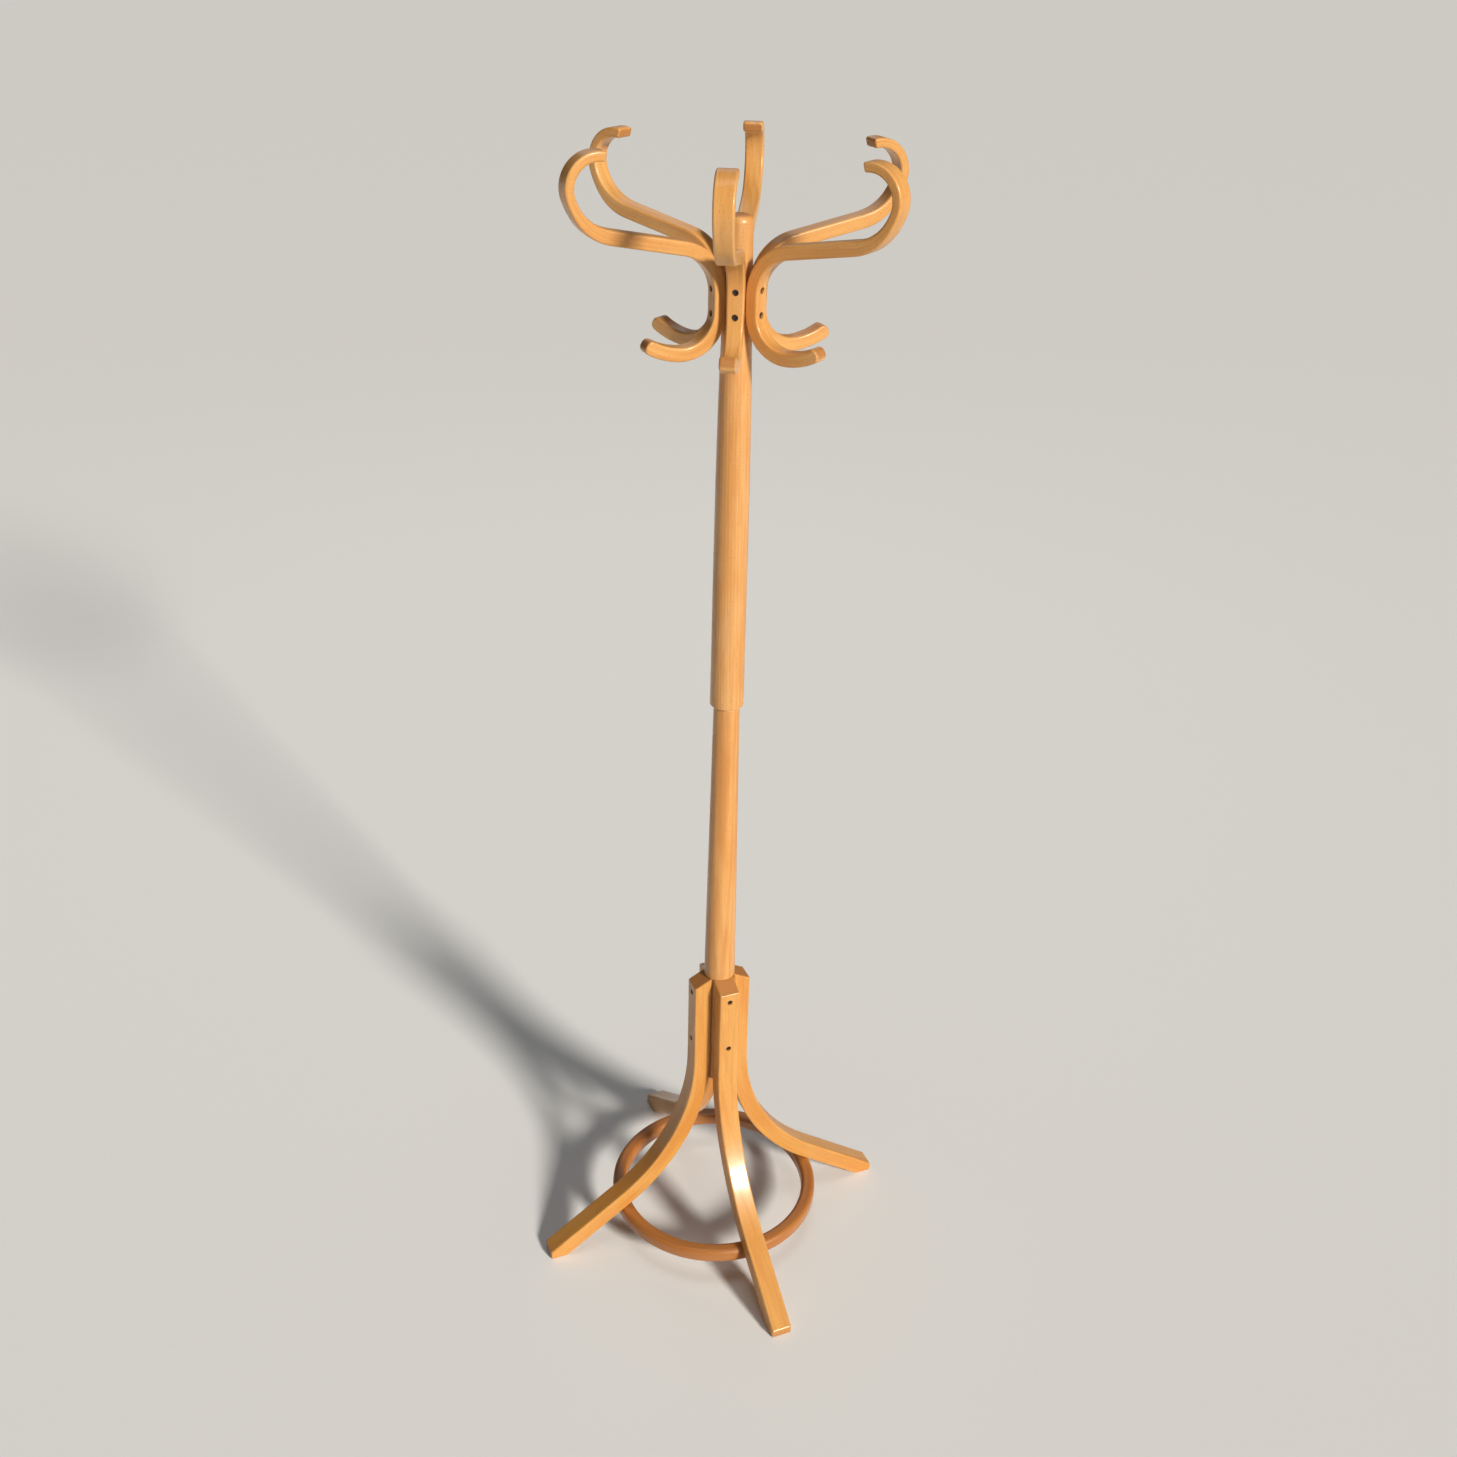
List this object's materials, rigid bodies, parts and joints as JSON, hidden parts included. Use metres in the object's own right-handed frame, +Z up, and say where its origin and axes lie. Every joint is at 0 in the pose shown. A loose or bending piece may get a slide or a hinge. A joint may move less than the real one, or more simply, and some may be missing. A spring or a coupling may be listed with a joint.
{
  "type": "standing coat rack",
  "caption": "Free-standing bentwood coat stand: turned column, splayed legs with a ring brace, and a revolving head of S-shaped double hooks.",
  "frame": {"origin": "on the floor, under the column's axis, midway between the feet", "axes": "+Z up along the column; leg_1 points along -Y and the other legs follow every 90 degrees"},
  "size_m": [0.624, 0.624, 1.8505],
  "materials": {
    "turned_beech": "clear satin lacquer on turned beech",
    "bent_beech": "clear satin lacquer on steam-bent beech",
    "screw_steel": "dull zinc-plated steel",
    "pin_steel": "ground steel",
    "nylon": "black nylon"
  },
  "bodies": {
    "base": {"lower_column": "turned_beech", "leg_1": "bent_beech", "leg_2": "bent_beech", "leg_3": "bent_beech", "leg_4": "bent_beech", "leg_1_screws": "screw_steel", "leg_2_screws": "screw_steel", "leg_3_screws": "screw_steel", "leg_4_screws": "screw_steel", "base_ring": "bent_beech", "ring_screws": "screw_steel", "pivot_pin": "pin_steel", "thrust_washer": "nylon"},
    "head": {"upper_column": "turned_beech", "hook_1": "bent_beech", "hook_2": "bent_beech", "hook_3": "bent_beech", "hook_4": "bent_beech", "hook_5": "bent_beech", "hook_6": "bent_beech", "hook_1_screws": "screw_steel", "hook_2_screws": "screw_steel", "hook_3_screws": "screw_steel", "hook_4_screws": "screw_steel", "hook_5_screws": "screw_steel", "hook_6_screws": "screw_steel", "pivot_bush": "nylon"}
  },
  "joints": [
    {"name": "head_swivel", "type": "hinge", "parent": "base", "child": "head", "pos_m": [0, 0, 1.04], "axis": [0, 0, 1], "continuous": true}
  ]
}
